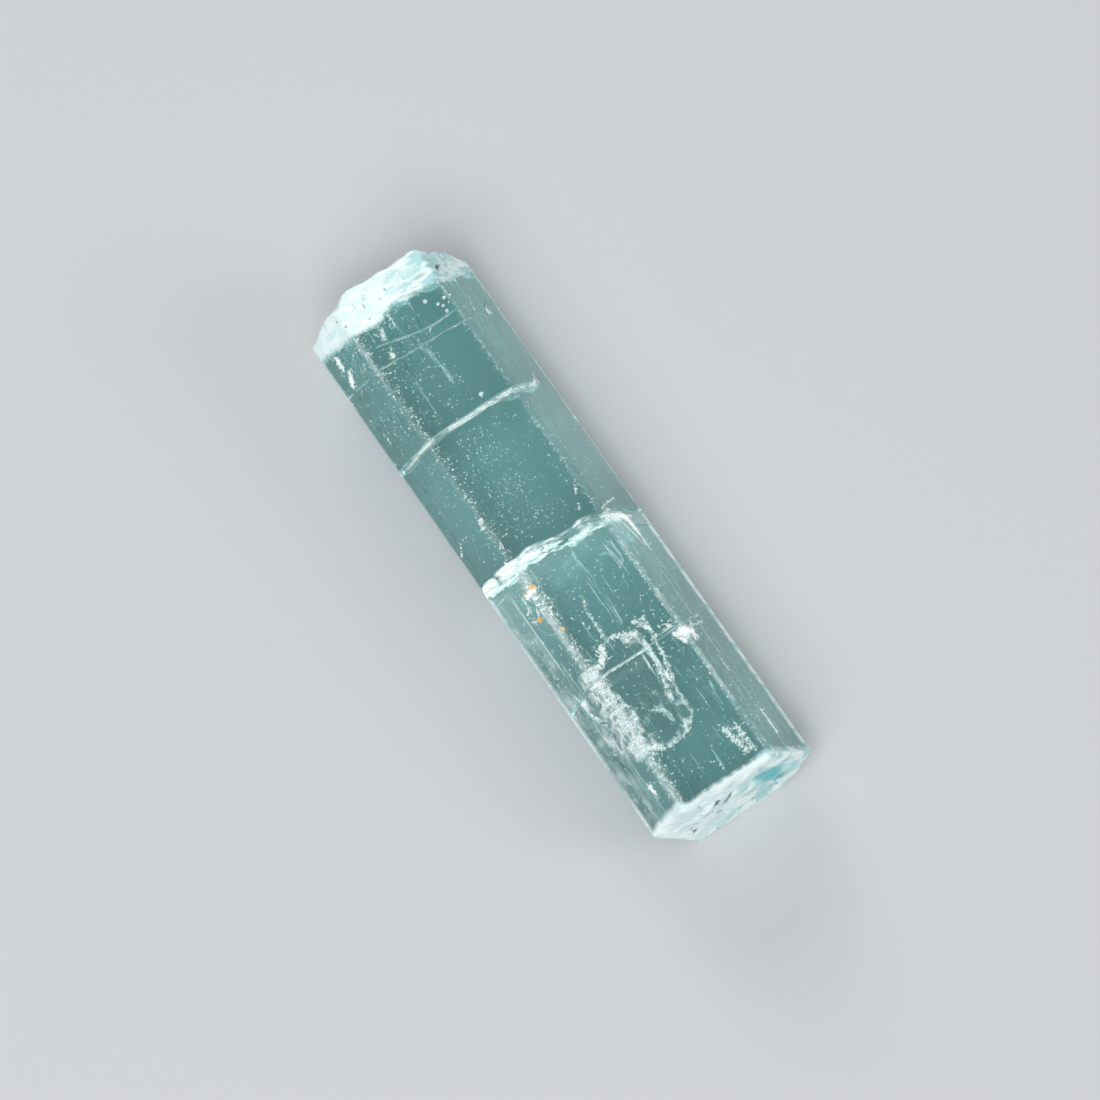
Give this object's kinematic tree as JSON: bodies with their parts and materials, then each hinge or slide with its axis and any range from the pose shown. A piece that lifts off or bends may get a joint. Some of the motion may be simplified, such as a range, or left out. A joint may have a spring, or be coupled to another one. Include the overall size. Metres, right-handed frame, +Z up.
{
  "type": "vanadium beryl crystal",
  "caption": "Clear pale aqua prismatic beryl crystal with six flat sides and rough etched ends, lying on one side.",
  "frame": {"origin": "on the surface that the crystal lies on, under the middle of its bounding box", "axes": "+X along the crystal's long axis, towards its flatter end; +Y across it; +Z up from the face that it lies on"},
  "size_m": [0.0306, 0.0088, 0.0065],
  "materials": {
    "beryl": "clear and glossy on the six prism faces, frosted and pitted at both ends"
  },
  "bodies": {
    "root": {"crystal": "beryl"}
  },
  "joints": []
}
